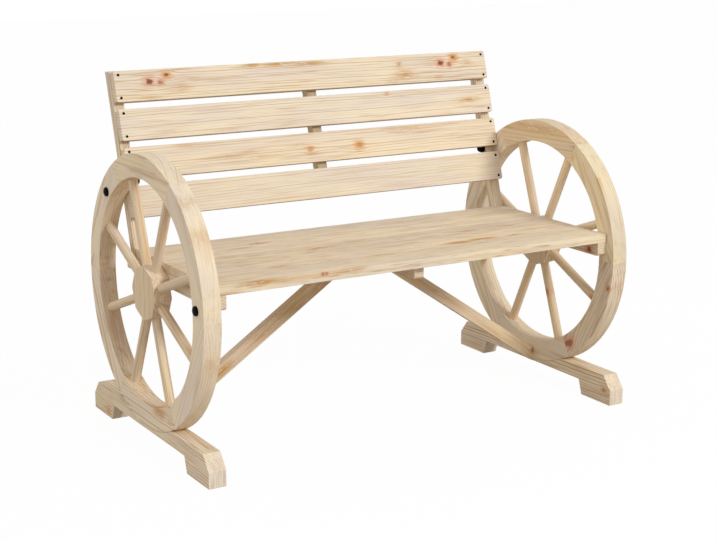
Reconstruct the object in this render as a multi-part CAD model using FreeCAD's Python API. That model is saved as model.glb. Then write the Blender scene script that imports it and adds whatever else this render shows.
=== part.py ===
import FreeCAD, Part
import math
import os

# Garden bench whose two ends are wagon wheels standing in runners.
# X runs along the bench, -Y is the front, Z is up from the floor, and the axle line is at Y = 0.
Vector = FreeCAD.Vector

# Wheels
wheel_diameter = 586.0
wheel_floor_gap = 41.5
wheel_inner_spacing = 982.0
rim_width = 50.5
rim_thickness = 39.0
rim_edge_ease = 1.0
felloe_count = 6
first_felloe_joint_angle = 60.0
felloe_dowel_diameter = 10.0
felloe_dowel_length = 32.0
felloe_dowel_share = 0.68

# Spokes and hubs
spoke_count = 8
first_spoke_angle = 25.0
spoke_diameter = 20.5
spoke_rim_depth = 20.0
spoke_hub_depth = 15.0
hub_across_flats = 112.0
hub_edge_ease = 2.0

# Runners
runner_length = 600.0
runner_height = 67.0
runner_end_height = 35.5
runner_end_slope = 25.0
runner_arch_height = 35.0
foot_length = 102.5
foot_slope = 11.5
runner_screw_offset = 60.0
runner_screw_bite = 30.0

# Seat, placed from the axle
seat_rise = 65.5
seat_thickness = 19.0
seat_rear_reach = 131.0
seat_end_gap = 1.0
seat_board_gap = 0.6
seat_board_shares = (0.4, 0.39, 0.21)
seat_edge_ease = 0.6

# Bearers under the seat
bearer_width = 24.0
bearer_depth = 30.5
bearer_edge_ease = 1.2
side_bearer_setback = 1.0
side_bearer_tail = 25.5
centre_bearer_front_setback = 26.0
centre_bearer_rear_setback = 10.0
bearer_nose = 4.0
seat_screw_bite = 11.0
seat_screw_shares = ((0.25, 0.75), (0.25, 0.75), (0.5,))

# Back
back_lean = 16.8
post_width = 24.0
post_depth = 24.0
post_edge_ease = 1.2
post_head_drop = 5.0
post_screw_bite = 22.0
slat_count = 4
slat_width = 68.8
slat_gap = 15.2
slat_thickness = 19.0
slat_edge_ease = 1.2
slat_corner_radius = 5.0
slat_end_gap = 1.0
lowest_slat_rise = 64.8
slat_screw_inset = 9.2
slat_screw_bite = 9.5
batten_end_inset = 6.0
batten_screw_bite = 12.0

# Braces
brace_width = 24.0
brace_depth = 28.0
brace_seat_contact = 10.0
brace_foot_height = 68.0
brace_dowel_diameter = 10.0
brace_dowel_depth = 18.0

# Fasteners
screw_head_diameter = 6.5
screw_head_height = 2.2
screw_shank_diameter = 3.6
bolt_head_diameter = 20.0
bolt_head_height = 7.0
bolt_head_rim = 4.0
bolt_diameter = 6.0
bolt_screw_wall = 0.5
rear_bolt_share = 0.36
rear_bolt_bite = 17.0
front_bolt_share = 0.36
front_bolt_inset = 6.2
front_bolt_rise = 5.5
front_bolt_bite = 18.0
post_bolt_head_height = 12.0
post_bolt_climb = 17.0
post_bolt_bite = 24.0

# Clearances, and how far a cutting shape runs past what it cuts
round_fit_gap = 0.3
seat_back_gap = 0.2
hole_end_gap = 0.5
overrun = 5.0

# Places worked out from the sizes above
rim_radius = wheel_diameter / 2
rim_inner_radius = rim_radius - rim_width
axle_height = wheel_floor_gap + rim_radius
wheel_inner = wheel_inner_spacing / 2
wheel_outer = wheel_inner + rim_thickness
wheel_middle = wheel_inner + rim_thickness / 2
axle_point = Vector(0, 0, axle_height)
along_bench = Vector(1, 0, 0)
upward = Vector(0, 0, 1)
seat_height = axle_height + seat_rise
seat_underside = seat_height - seat_thickness
bearer_bottom = seat_underside - bearer_depth
lean = math.radians(back_lean)
up_post = Vector(0, math.sin(lean), math.cos(lean))
into_post = Vector(0, math.cos(lean), -math.sin(lean))
post_foot_front = seat_rear_reach - seat_thickness * math.tan(lean)
post_foot_depth = post_depth / math.cos(lean)
slat_pitch = slat_width + slat_gap
top_slat_rise = lowest_slat_rise + slat_pitch * (slat_count - 1)
front_bolt_height = bearer_bottom + front_bolt_rise
front_bolt_circle = rim_inner_radius + rim_width * front_bolt_share
front_bolt_depth = -math.sqrt(front_bolt_circle ** 2 - (front_bolt_height - axle_height) ** 2)
side_bearer_front = front_bolt_depth - front_bolt_inset
seat_front = side_bearer_front - side_bearer_setback


def mirrored(shape):
    """The same piece at the other end of the bench."""
    return shape.mirror(Vector(0, 0, 0), along_bench)


def prism(points, travel):
    """A flat outline pushed along a vector."""
    return Part.Face(Part.makePolygon(points + points[:1])).extrude(travel)


def eased_outline(place, across, upwards, width, height, ease):
    """Corners of a rectangle with its four edges planed off."""
    corners = [(0, ease), (ease, 0), (width - ease, 0), (width, ease)]
    corners += [(width, height - ease), (width - ease, height), (ease, height), (0, height - ease)]
    return [place + across * u + upwards * v for u, v in corners]


def runs_along(edge, direction):
    """Whether an edge starts out along a direction rather than across it."""
    return abs(edge.tangentAt(edge.FirstParameter).dot(direction)) > math.sqrt(0.5)


def round_bar(diameter, start, direction, length):
    return Part.makeCylinder(diameter / 2, length, start, direction)


def wheel_direction(angle):
    """Unit vector in the wheel's plane, from the rear (0) over the top (90) to the front (180)."""
    return Vector(0, math.cos(math.radians(angle)), math.sin(math.radians(angle)))


def screw(seat, direction, length):
    """Flat-headed wood screw whose head bears on a seat point."""
    head = round_bar(screw_head_diameter, seat, direction * -1, screw_head_height)
    return head.fuse(round_bar(screw_shank_diameter, seat, direction, length)).removeSplitter()


def screw_room(seat, direction, length):
    """Counterbore and pilot hole for that screw."""
    head_bore = screw_head_diameter + 2 * round_fit_gap
    head_room = round_bar(head_bore, seat, direction * -1, screw_head_height + overrun)
    pilot = round_bar(screw_shank_diameter + 2 * round_fit_gap, seat, direction, length + hole_end_gap)
    return head_room.fuse(pilot)


# Spokes: one straight dowel from a flat of the hub into the rim
spoke_angles = [first_spoke_angle + 360 / spoke_count * number for number in range(spoke_count)]
spoke_start = hub_across_flats / 2 - spoke_hub_depth
spoke_length = rim_inner_radius + spoke_rim_depth - spoke_start


def spoke(angle, diameter):
    start = Vector(wheel_middle, 0, axle_height) + wheel_direction(angle) * spoke_start
    return round_bar(diameter, start, wheel_direction(angle), spoke_length)


def spoke_sockets():
    return [spoke(angle, spoke_diameter + 2 * round_fit_gap) for angle in spoke_angles]


def hub():
    """Eight-sided block with one spoke in each flat and its face edges planed off."""
    corner_radius = hub_across_flats / 2 / math.cos(math.pi / spoke_count)
    half_step = 180 / spoke_count
    corners = [axle_point + along_bench * wheel_inner + wheel_direction(angle + half_step) * corner_radius
               for angle in spoke_angles]
    block = prism(corners, along_bench * rim_thickness)
    face_edges = [edge for edge in block.Edges if not runs_along(edge, along_bench)]
    return block.makeChamfer(hub_edge_ease, face_edges).cut(spoke_sockets())


# Bolts: two hold each post to its rim, one driven from either side, and one holds the side bearer
bolt_bore = bolt_diameter + 2 * round_fit_gap
bolt_line = slat_screw_bite + hole_end_gap + bolt_screw_wall + bolt_bore / 2


def rear_bolt_place():
    """Where a line up the post, behind the slat screws, crosses the bolt circle in the rim."""
    circle = rim_inner_radius + rim_width * rear_bolt_share
    foot = Vector(0, post_foot_front + bolt_line / math.cos(lean), seat_underside - axle_height)
    along = foot.dot(up_post)
    climb = math.sqrt(along * along - foot.dot(foot) + circle * circle) - along
    return axle_point + foot + up_post * climb


rear_bolt_seat = rear_bolt_place() + along_bench * wheel_outer
rear_bolt_length = rim_thickness + rear_bolt_bite
front_bolt_seat = Vector(wheel_outer, front_bolt_depth, front_bolt_height)
front_bolt_length = rim_thickness + front_bolt_bite
post_bolt_seat = rear_bolt_seat + up_post * post_bolt_climb - along_bench * (rim_thickness + post_width)
post_bolt_length = post_width + post_bolt_bite


def dome(base, direction, diameter, height):
    """Cap of a ball with its flat side on the base point."""
    radius = diameter / 2
    ball_radius = (radius * radius + height * height) / (2 * height)
    half_angle = math.atan2(radius, ball_radius - height) / 2
    edge = base + upward * radius
    crown = base + direction * height
    centre = crown - direction * ball_radius
    shoulder = centre + (direction * math.cos(half_angle) + upward * math.sin(half_angle)) * ball_radius
    curve = Part.Arc(edge, shoulder, crown).toShape()
    outline = [Part.makeLine(base, edge), curve, Part.makeLine(crown, base)]
    return Part.Face(Part.Wire(outline)).revolve(base, direction, 360)


def bolt(seat, direction, length, head_height):
    """Domed head on a seat point, with a plain shank running on from it."""
    plate = round_bar(bolt_head_diameter, seat, direction * -1, bolt_head_rim)
    dome_base = seat - direction * bolt_head_rim
    crown = dome(dome_base, direction * -1, bolt_head_diameter, head_height - bolt_head_rim)
    shank = round_bar(bolt_diameter, seat, direction, length)
    return plate.fuse([crown, shank]).removeSplitter()


def bolt_room(seat, direction, length):
    return round_bar(bolt_bore, seat - direction * overrun, direction, length + overrun + hole_end_gap)


inward = along_bench * -1


def bolt_rooms():
    rooms = [bolt_room(rear_bolt_seat, inward, rear_bolt_length)]
    rooms.append(bolt_room(front_bolt_seat, inward, front_bolt_length))
    return rooms + [bolt_room(post_bolt_seat, along_bench, post_bolt_length)]


# Rims: felloes meet end to end on radial faces, with a dowel across each joint
felloe_sweep = 360 / felloe_count
felloe_starts = [first_felloe_joint_angle + felloe_sweep * number for number in range(felloe_count)]
felloe_dowel_radius = rim_inner_radius + rim_width * felloe_dowel_share


def felloe_dowel(start_angle, diameter):
    tangent = wheel_direction(start_angle + 90)
    middle = Vector(wheel_middle, 0, axle_height) + wheel_direction(start_angle) * felloe_dowel_radius
    return round_bar(diameter, middle - tangent * (felloe_dowel_length / 2), tangent, felloe_dowel_length)


def runner_screw_seats():
    heights = runner_arch_height + screw_head_height
    return [Vector(wheel_middle, side * runner_screw_offset, heights) for side in (-1, 1)]


def runner_screw_length():
    rim_bottom = axle_height - math.sqrt(rim_radius ** 2 - runner_screw_offset ** 2)
    return rim_bottom + runner_screw_bite - runner_arch_height - screw_head_height


def brace_foot_dowel(diameter):
    height = brace_foot_height - brace_dowel_diameter
    start = Vector(wheel_inner - brace_dowel_depth, 0, height)
    return round_bar(diameter, start, along_bench, 2 * brace_dowel_depth)


def rim_cuts():
    cuts = spoke_sockets() + bolt_rooms()
    cuts += [felloe_dowel(angle, felloe_dowel_diameter + 2 * round_fit_gap) for angle in felloe_starts]
    cuts += [screw_room(seat, upward, runner_screw_length()) for seat in runner_screw_seats()]
    return cuts + [brace_foot_dowel(brace_dowel_diameter + 2 * round_fit_gap)]


def felloe(start_angle, cuts):
    """One curved rim piece, turned from an eased section about the axle."""
    corner = axle_point + along_bench * wheel_inner + wheel_direction(start_angle) * rim_inner_radius
    outward = wheel_direction(start_angle)
    outline = eased_outline(corner, along_bench, outward, rim_thickness, rim_width, rim_edge_ease)
    section = Part.Face(Part.makePolygon(outline + outline[:1]))
    return section.revolve(axle_point, along_bench, felloe_sweep).cut(cuts)


# Runners
def runner():
    """Beam along the bench's depth with sloped ends, an arch between its feet and a hollow for the rim."""
    half = runner_length / 2
    rear_side = [(half - foot_length - foot_slope, runner_arch_height), (half - foot_length, 0), (half, 0)]
    rear_side += [(half, runner_end_height), (half - runner_end_slope, runner_height)]
    front_side = [(-depth, height) for depth, height in reversed(rear_side)]
    corners = [Vector(wheel_inner, depth, height) for depth, height in rear_side + front_side]
    beam = prism(corners, along_bench * rim_thickness)
    hollow_start = axle_point + along_bench * (wheel_inner - overrun)
    hollow_length = rim_thickness + 2 * overrun
    hollow = round_bar(wheel_diameter + 2 * round_fit_gap, hollow_start, along_bench, hollow_length)
    screws = [screw_room(seat, upward, runner_screw_length()) for seat in runner_screw_seats()]
    return beam.cut([hollow] + screws)


# Seat boards: the rear one is bevelled to lie against the leaning posts
def seat_board_edges():
    """Rear and front edge of each board, from the back of the seat to the front."""
    depth = seat_rear_reach - seat_front
    edges = []
    rear = seat_rear_reach
    for share in seat_board_shares:
        edges.append((rear, rear - depth * share))
        rear -= depth * share
    return edges


def seat_screw_depths():
    """Where along the depth each board is screwed down."""
    places = []
    for (rear, front), shares in zip(seat_board_edges(), seat_screw_shares):
        places += [rear + (front - rear) * share for share in shares]
    return places


bearer_middles = (-wheel_inner + bearer_width / 2, 0, wheel_inner - bearer_width / 2)
seat_screw_length = bearer_depth - screw_head_height + seat_screw_bite


def seat_screw_seats(middle):
    return [Vector(middle, depth, bearer_bottom + screw_head_height) for depth in seat_screw_depths()]


def seat_board(number):
    rear, front = seat_board_edges()[number]
    rear -= seat_back_gap if number == 0 else seat_board_gap / 2
    front += 0 if number == len(seat_board_shares) - 1 else seat_board_gap / 2
    bevel = math.tan(lean) if number == 0 else 0
    ease = seat_edge_ease
    outline = [(rear - seat_thickness * bevel, seat_underside), (rear - ease * bevel, seat_height - ease)]
    outline += [(rear - ease, seat_height), (front + ease, seat_height), (front, seat_height - ease)]
    outline += [(front, seat_underside + ease), (front + ease, seat_underside)]
    half_length = wheel_inner - seat_end_gap
    corners = [Vector(-half_length, depth, height) for depth, height in outline]
    board = prism(corners, along_bench * (2 * half_length))
    rooms = [screw_room(seat, upward, seat_screw_length)
             for middle in bearer_middles for seat in seat_screw_seats(middle)]
    return board.cut(rooms)


# Bearers
def post_screw_seat():
    depth = post_foot_front + post_foot_depth / 2 + post_screw_bite * math.tan(lean) / 2
    return Vector(bearer_middles[-1], depth, bearer_bottom + screw_head_height)


post_screw_length = bearer_depth - screw_head_height + post_screw_bite


def bearer(middle, front, rear):
    """Rail under the seat boards with its lower front corner cut away."""
    outline = [(front, seat_underside), (front, bearer_bottom + bearer_nose)]
    outline += [(front + bearer_nose, bearer_bottom), (rear, bearer_bottom), (rear, seat_underside)]
    corners = [Vector(middle - bearer_width / 2, depth, height) for depth, height in outline]
    rail = prism(corners, along_bench * bearer_width)
    ease = bearer_edge_ease
    low_edges = [edge for edge in rail.Edges
                 if edge.BoundBox.ZMax < bearer_bottom + ease and edge.BoundBox.XLength < ease]
    rail = rail.makeChamfer(ease, low_edges)
    return rail.cut([screw_room(seat, upward, seat_screw_length) for seat in seat_screw_seats(middle)])


def side_bearer():
    rear = post_foot_front + post_foot_depth + side_bearer_tail
    rail = bearer(bearer_middles[-1], side_bearer_front, rear)
    return rail.cut(bolt_rooms() + [screw_room(post_screw_seat(), upward, post_screw_length)])


def brace_head_dowel(diameter):
    reach = bearer_width / 2 + brace_dowel_depth
    start = Vector(-reach, 0, seat_underside - bearer_depth / 2)
    return round_bar(diameter, start, along_bench, 2 * reach)


def centre_bearer():
    front = seat_front + centre_bearer_front_setback
    rail = bearer(0, front, seat_rear_reach - centre_bearer_rear_setback)
    return rail.cut(brace_head_dowel(brace_dowel_diameter + 2 * round_fit_gap))


# Back: posts, slats and centre batten
def back_point(across, rise, behind):
    """Point on the leaning back: along the bench, up the posts from the seat, and behind the posts' front."""
    return Vector(across, seat_rear_reach, seat_height) + up_post * rise + into_post * behind


post_middle = wheel_inner - post_width / 2


def slat_screw_rises(number):
    bottom = lowest_slat_rise + slat_pitch * number
    return (bottom + slat_screw_inset, bottom + slat_width - slat_screw_inset)


slat_screw_length = slat_thickness - screw_head_height + slat_screw_bite


def slat_screw_seats(across):
    return [back_point(across, rise, screw_head_height - slat_thickness)
            for number in range(slat_count) for rise in slat_screw_rises(number)]


batten_screw_length = post_depth - screw_head_height + batten_screw_bite


def batten_screw_seats():
    return [back_point(0, rise, post_depth - screw_head_height)
            for number in range(slat_count) for rise in slat_screw_rises(number)]


def post():
    """Square post leaning back, cut level at the foot and at the head."""
    head_height = back_point(0, top_slat_rise + slat_width, -slat_thickness).z - post_head_drop
    overshoot = post_depth + overrun
    start = back_point(wheel_inner - post_width, -seat_thickness / math.cos(lean) - overshoot, 0)
    length = (head_height - seat_underside) / math.cos(lean) + 2 * overshoot
    outline = eased_outline(start, along_bench, into_post, post_width, post_depth, post_edge_ease)
    bar = prism(outline, up_post * length)
    slab_start = Vector(wheel_inner - post_width - overrun, -runner_length, seat_underside)
    slab = Part.makeBox(post_width + 2 * overrun, 2 * runner_length, head_height - seat_underside, slab_start)
    screws = [screw_room(seat, into_post, slat_screw_length) for seat in slat_screw_seats(post_middle)]
    screws.append(screw_room(post_screw_seat(), upward, post_screw_length))
    return bar.common(slab).cut(screws + bolt_rooms())


def slat(number):
    """Back slat, end to end across both posts."""
    half_length = wheel_inner - slat_end_gap
    bottom = lowest_slat_rise + slat_pitch * number
    ends = [(-half_length, bottom), (half_length, bottom)]
    ends += [(half_length, bottom + slat_width), (-half_length, bottom + slat_width)]
    outline = [back_point(across, rise, -slat_thickness) for across, rise in ends]
    board = prism(outline, into_post * slat_thickness)
    corners = [edge for edge in board.Edges if runs_along(edge, into_post)]
    board = board.makeFillet(slat_corner_radius, corners)
    face_edges = [edge for edge in board.Edges if not runs_along(edge, into_post)]
    board = board.makeChamfer(slat_edge_ease, face_edges)
    rooms = [screw_room(seat, into_post, slat_screw_length)
             for across in (-post_middle, post_middle) for seat in slat_screw_seats(across)]
    rooms += [screw_room(seat, into_post * -1, batten_screw_length) for seat in batten_screw_seats()]
    return board.cut(rooms)


def batten():
    """Upright strip behind the slats, halfway along the bench."""
    corner = back_point(-post_width / 2, lowest_slat_rise + batten_end_inset, 0)
    length = top_slat_rise + slat_width - lowest_slat_rise - 2 * batten_end_inset
    outline = eased_outline(corner, along_bench, into_post, post_width, post_depth, post_edge_ease)
    strip = prism(outline, up_post * length)
    return strip.cut([screw_room(seat, into_post * -1, batten_screw_length) for seat in batten_screw_seats()])


# Braces
def brace():
    """Diagonal from the side of the centre bearer, under the seat, down to the foot of the wheel."""
    head = bearer_width / 2
    run = wheel_inner - head - brace_seat_contact
    slope = (seat_underside - brace_foot_height) / run
    upright_cut = brace_depth * math.sqrt(1 + slope * slope)
    foot_bottom = brace_foot_height - upright_cut
    outline = [(head, seat_underside), (head + brace_seat_contact, seat_underside)]
    outline += [(wheel_inner, brace_foot_height), (wheel_inner, foot_bottom)]
    outline += [(head, foot_bottom + slope * (wheel_inner - head))]
    corners = [Vector(across, -brace_width / 2, height) for across, height in outline]
    bar = prism(corners, Vector(0, brace_width, 0))
    bore = brace_dowel_diameter + 2 * round_fit_gap
    return bar.cut([brace_foot_dowel(bore), brace_head_dowel(bore)])


os.makedirs("parts", exist_ok=True)


def write(name, shape):
    shape.exportStep("parts/" + name + ".step")


def write_pair(name, shape):
    """One piece at each end of the bench, in a file of its own."""
    write("right_" + name, shape)
    write("left_" + name, mirrored(shape))


def write_group(name, shapes):
    """Like fasteners, each a separate solid, in one file."""
    write(name, Part.makeCompound(shapes))


def both_ends(shapes):
    return shapes + [mirrored(shape) for shape in shapes]


# Wheels and runners
wheel_cuts = rim_cuts()
for number, angle in enumerate(felloe_starts, start=1):
    write_pair("felloe_%d" % number, felloe(angle, wheel_cuts))
for number, angle in enumerate(spoke_angles, start=1):
    write_pair("spoke_%d" % number, spoke(angle, spoke_diameter))
write_pair("hub", hub())
write_pair("runner", runner())

# Seat and braces
for number, place in enumerate(("rear", "middle", "front")):
    write("seat_board_" + place, seat_board(number))
write_pair("bearer", side_bearer())
write("centre_bearer", centre_bearer())
write_pair("brace", brace())

# Back
write_pair("post", post())
for number in range(slat_count):
    write("back_slat_%d" % (number + 1), slat(number))
write("back_batten", batten())

# Fasteners
write_group("felloe_dowels", both_ends([felloe_dowel(angle, felloe_dowel_diameter)
                                        for angle in felloe_starts]))
foot_dowels = both_ends([brace_foot_dowel(brace_dowel_diameter)])
write_group("brace_dowels", foot_dowels + [brace_head_dowel(brace_dowel_diameter)])
write_group("runner_screws", both_ends([screw(seat, upward, runner_screw_length())
                                        for seat in runner_screw_seats()]))
write_group("seat_screws", [screw(seat, upward, seat_screw_length)
                            for middle in bearer_middles for seat in seat_screw_seats(middle)])
write_group("post_screws", both_ends([screw(post_screw_seat(), upward, post_screw_length)]))
write_group("slat_screws", both_ends([screw(seat, into_post, slat_screw_length)
                                      for seat in slat_screw_seats(post_middle)]))
write_group("batten_screws", [screw(seat, into_post * -1, batten_screw_length)
                              for seat in batten_screw_seats()])
write_group("rear_bolts", both_ends([bolt(rear_bolt_seat, inward, rear_bolt_length, bolt_head_height)]))
write_group("front_bolts", both_ends([bolt(front_bolt_seat, inward, front_bolt_length, bolt_head_height)]))
write_group("post_bolts", both_ends([bolt(post_bolt_seat, along_bench,
                                          post_bolt_length, post_bolt_head_height)]))
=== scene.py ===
import math
import random

import bmesh
import bpy
from mathutils import Matrix, Vector


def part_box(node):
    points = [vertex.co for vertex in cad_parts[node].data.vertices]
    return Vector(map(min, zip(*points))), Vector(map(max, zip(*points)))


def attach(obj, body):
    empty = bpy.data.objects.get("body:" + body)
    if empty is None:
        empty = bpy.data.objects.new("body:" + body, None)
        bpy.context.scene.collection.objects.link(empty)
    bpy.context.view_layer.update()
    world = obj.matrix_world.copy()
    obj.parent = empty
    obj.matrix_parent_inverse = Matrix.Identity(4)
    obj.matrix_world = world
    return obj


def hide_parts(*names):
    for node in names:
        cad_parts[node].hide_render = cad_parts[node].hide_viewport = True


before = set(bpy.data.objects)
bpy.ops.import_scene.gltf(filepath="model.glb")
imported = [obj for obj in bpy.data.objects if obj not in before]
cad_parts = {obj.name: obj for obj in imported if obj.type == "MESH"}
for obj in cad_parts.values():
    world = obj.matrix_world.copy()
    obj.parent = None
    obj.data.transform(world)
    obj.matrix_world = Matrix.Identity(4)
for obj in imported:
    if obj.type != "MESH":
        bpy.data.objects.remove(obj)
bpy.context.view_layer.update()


# Wheel rims: six felloes a side, sawn from pale fir planks so that the grain runs straight through
# each one and turns at every joint. Their ends are glued and dowelled, their edges lightly sanded.
class Value:
    """A socket in a material's tree. Arithmetic on it adds Math nodes."""

    def __init__(self, tree, socket):
        self.tree = tree
        self.socket = socket

    def math(self, operation, *others, first=None):
        node = self.tree.nodes.new("ShaderNodeMath")
        node.operation = operation
        items = (self,) + others if first is None else (first, self)
        for slot, item in zip(node.inputs, items):
            plug(self.tree, slot, item)
        return Value(self.tree, node.outputs[0])

    def __add__(self, other):
        return self.math("ADD", other)

    def __sub__(self, other):
        return self.math("SUBTRACT", other)

    def __mul__(self, other):
        return self.math("MULTIPLY", other)

    def __rsub__(self, other):
        return self.math("SUBTRACT", first=other)

    __radd__ = __add__
    __rmul__ = __mul__

    def step(self, low, high):
        """0 below low, 1 above high, smooth between."""
        node = self.tree.nodes.new("ShaderNodeMapRange")
        node.interpolation_type = "SMOOTHSTEP"
        for slot, item in zip(node.inputs, (self, low, high, 0.0, 1.0)):
            plug(self.tree, slot, item)
        return Value(self.tree, node.outputs[0])


def plug(tree, slot, item):
    """Links a value to a socket, or sets the socket to a plain number or colour."""
    if isinstance(item, Value):
        tree.links.new(item.socket, slot)
    else:
        slot.default_value = item


class Finish:
    """A new material with a principled shader, and a short way to add any node."""

    def __init__(self, name):
        self.material = bpy.data.materials.new(name)
        self.material.use_nodes = True
        self.tree = self.material.node_tree
        self.shader = self.tree.nodes["Principled BSDF"]

    def node(self, kind, settings=None, out=0, **sockets):
        """A node of any kind. A socket is named, or numbered as i0, i1 and so on."""
        node = self.tree.nodes.new("ShaderNode" + kind)
        for name, value in (settings or {}).items():
            setattr(node, name, value)
        for name, item in sockets.items():
            numbered = name[0] == "i" and name[1:].isdigit()
            plug(self.tree, node.inputs[int(name[1:]) if numbered else name], item)
        return Value(self.tree, node.outputs[out])

    def mix(self, factor, colour, towards):
        return self.node("Mix", {"data_type": "RGBA"}, out=2, i0=factor, i6=colour, i7=towards)

    def scale(self, colour, factor):
        return self.node("VectorMath", {"operation": "SCALE"}, i0=colour, Scale=factor)

    def facing(self, way):
        """How squarely the surface faces a way, from -1 to 1."""
        normal = self.node("NewGeometry", out="Normal")
        return self.node("VectorMath", {"operation": "DOT_PRODUCT"}, out="Value", i0=normal, i1=way)

    def cloud(self, spot, offset, lengths, detail, shift):
        """Noise between 0 and 1 whose blotches are as long as given on each axis."""
        moved = offset + shift
        stretched = self.node("VectorMath", {"operation": "MULTIPLY_ADD"}, i0=spot,
                              i1=[1 / length for length in lengths], i2=(moved, -moved, moved))
        return self.node("TexNoise", Vector=stretched, Scale=1.0, Detail=detail)

    def set(self, **sockets):
        for name, item in sockets.items():
            plug(self.tree, self.shader.inputs[name.replace("_", " ")], item)


screen_gamma = 2.2


def paint(red, green, blue):
    """A colour as it looks on a screen, 0 to 255, turned into what a shader takes."""
    return tuple((part / 255) ** screen_gamma for part in (red, green, blue)) + (1.0,)


def grain_frame(centre, along, face):
    """How a piece's timber lies: x along the grain, y across its face, z out of the face."""
    along = Vector(along).normalized()
    face = Vector(face).normalized()
    turn = Matrix((along, face.cross(along), face)).transposed()
    return Matrix.Translation(centre) @ turn.to_4x4()


# A knot's parts are measured in its own radius. It pulls and shows further along the grain than across.
pull_radii = 2.0
axis_radii = 0.6
halo_radii = (0.5, 2.2)
heart_radii = (0.4, 1.0)
pull_squeeze = 0.4
halo_squeeze = 0.5
line_push = 0.75
red_knot_depth = 0.3


def knot_field(along, across, ragged, knot):
    """One knot: where it pulls at the grain, its axis, its push on the lines, its halo and its heart."""
    knot_along, knot_across, radius, warmth, depth = knot
    beside = along - knot_along
    over = across - knot_across
    pull = beside * beside * pull_squeeze + over * over
    near = (pull * (-1 / (pull_radii * radius) ** 2)).math("EXPONENT")
    axis = (over * over * (-1 / (axis_radii * radius) ** 2)).math("EXPONENT") * near
    reach = (beside * beside * halo_squeeze + over * over).math("SQRT") + ragged * radius
    halo = (1 - reach.step(*[share * radius for share in halo_radii])) * warmth
    heart = (1 - reach.step(*[share * radius for share in heart_radii])) * depth
    halo_kind = "redness" if depth > red_knot_depth else "glow"
    return {"near": near, "axis": axis, "push": over * near * line_push, "heart": heart, halo_kind: halo}


resin_edge_share = 1.2


def flame_field(along, across, lick, flame):
    """One flame of resin: its golden body and the darker edge round it."""
    flame_along, flame_across, half_length, half_width, strength = flame
    beside = (along - flame_along) * (1 / half_length)
    over = (across - flame_across) * (1 / half_width)
    tongue = ((beside * beside + over * over) * -1.0).math("EXPONENT")
    edge = tongue * lick * (1 - lick) * (resin_edge_share * strength)
    return {"resin": tongue * lick * strength, "edge": edge}


def strongest(fields, mark):
    """The greatest value of a mark over all the fields that have it, or 0."""
    most = 0.0
    for field in fields:
        if mark in field:
            most = field[mark].math("MAXIMUM", most)
    return most


# No two pieces of fir are cut alike: each has its own place in the clouds, pith, tilt, slant and tone.
offset_range = (2, 60)
pith_range = (0.09, 0.17)
tilt_spread = 8
slant_spread = 0.018
tone_range = (0.985, 1.015)

# The colours of fir.
early_pale = paint(241, 226, 206)
early_gold = paint(244, 229, 199)
late_wood = paint(200, 164, 123)
honey = paint(224, 182, 134)
amber = paint(216, 154, 88)
rose = paint(222, 148, 112)
knot_heart = paint(104, 44, 20)
# Painted shade: the brown laid on undersides and rim insides, where shade falls.
edge_shade_brown = paint(176, 138, 100)
end_pale = paint(248, 236, 218)
resin_gold = paint(204, 150, 70)
resin_edge = paint(146, 98, 42)

# The clouds of its figure: their length along the grain, across the face and through the piece, their
# detail, and a shift that sets each apart. Limits say where a cloud begins to show and where it is full.
bend_cloud = ((0.45, 0.1, 0.1), 1.0, 0)
ragged_cloud = ((0.012, 0.006, 0.02), 2.0, 3)
streak_cloud = ((0.26, 0.0065, 0.02), 2.0, 9)
lick_cloud = ((0.024, 0.0035, 0.005), 2.0, 13)
patch_cloud = ((0.2, 0.04, 0.05), 1.0, 17)
fibre_cloud = ((0.03, 0.0011, 0.0011), 2.0, 23)
stripe_cloud = ((0.02, 0.06, 0.0026), 1.0, 31)
cloud_middle = 0.5
dash_detail = 1.0
dash_shift = 5
line_limits = (0.52, 0.76)
lick_limits = (0.32, 0.56)
patch_limits = (0.3, 0.7)
stripe_limits = (0.48, 0.66)

# Its lines: how far the grain strays, how late wood comes and goes in each ring, and what knots do to it.
bend_reach = 0.012
late_rise = (0.58, 0.92)
late_fall = (0.93, 1.0)
faintest_ring = 0.15
dash_share = 0.8
knot_line_gain = 0.8
knot_axis_loss = 0.9
amber_line_limit = 0.35

# Its surface: blotches, fibres, glued joints, end grain, a painted shade on the edge that faces back, and a
# dull sheen.
patch_depth = 0.16
fibre_depth = 0.14
skin_half_depth = 0.005
glue_half_width = 0.0003
end_facing = (0.6, 0.95)
stripe_share = 0.5
# Painted shade on the face that looks back across the grain: how squarely it must look back, and its least
# and streaked strength.
edge_facing = (0.5, 0.8)
edge_shade_least = 0.7
edge_shade_streaks = 0.6
wood_roughness = 0.5
fibre_roughness = 0.2
wood_specular = 0.25
bump_strength = 0.25
bump_depth = 0.0004
fibre_bump = 0.7
late_bump = 0.3


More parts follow.
